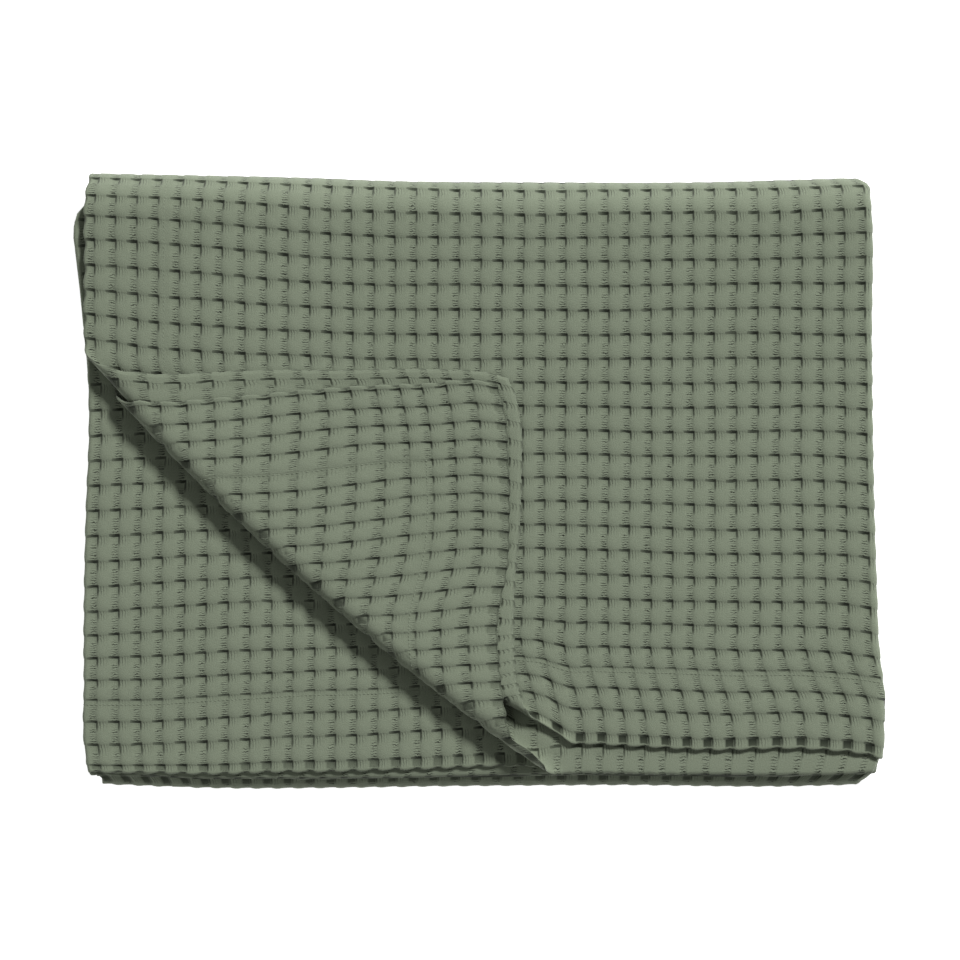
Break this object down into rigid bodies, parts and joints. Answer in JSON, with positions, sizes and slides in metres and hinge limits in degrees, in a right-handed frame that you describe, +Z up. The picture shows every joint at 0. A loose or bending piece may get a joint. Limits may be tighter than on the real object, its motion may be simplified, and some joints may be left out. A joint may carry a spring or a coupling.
{
  "type": "folded waffle-weave bedspread",
  "caption": "Waffle-weave cotton bedspread folded into a flat rectangular stack, one corner of its top layers turned back, resting on a surface.",
  "frame": {"origin": "centre of the folded stack's footprint, on the surface it rests on", "axes": "+X along the long side, +Y across it towards the rolled folded edge, +Z up"},
  "size_m": [0.6718, 0.5134, 0.0627],
  "materials": {
    "waffle_cotton": "matt sage green cotton in a raised waffle weave"
  },
  "bodies": {
    "root": {"bedspread": "waffle_cotton"}
  },
  "joints": []
}
